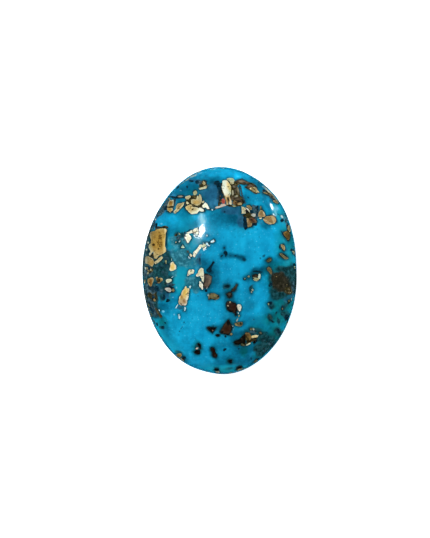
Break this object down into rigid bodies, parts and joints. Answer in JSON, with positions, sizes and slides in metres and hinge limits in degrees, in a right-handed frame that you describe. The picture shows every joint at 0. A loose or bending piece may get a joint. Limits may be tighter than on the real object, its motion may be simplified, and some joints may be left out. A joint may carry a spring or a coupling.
{
  "type": "turquoise cabochon with pyrite",
  "caption": "Oval domed turquoise stone with pyrite inclusions, polished on top and flat on the back, to set in a bezel or lay on a surface.",
  "frame": {"origin": "middle of the flat back", "axes": "+Z out of the dome, +Y along the oval's length, +X across its width"},
  "size_m": [0.0148, 0.02, 0.0048],
  "materials": {
    "turquoise": "polished turquoise with gold pyrite and dark iron-stained matrix"
  },
  "bodies": {
    "root": {"cabochon": "turquoise"}
  },
  "joints": []
}
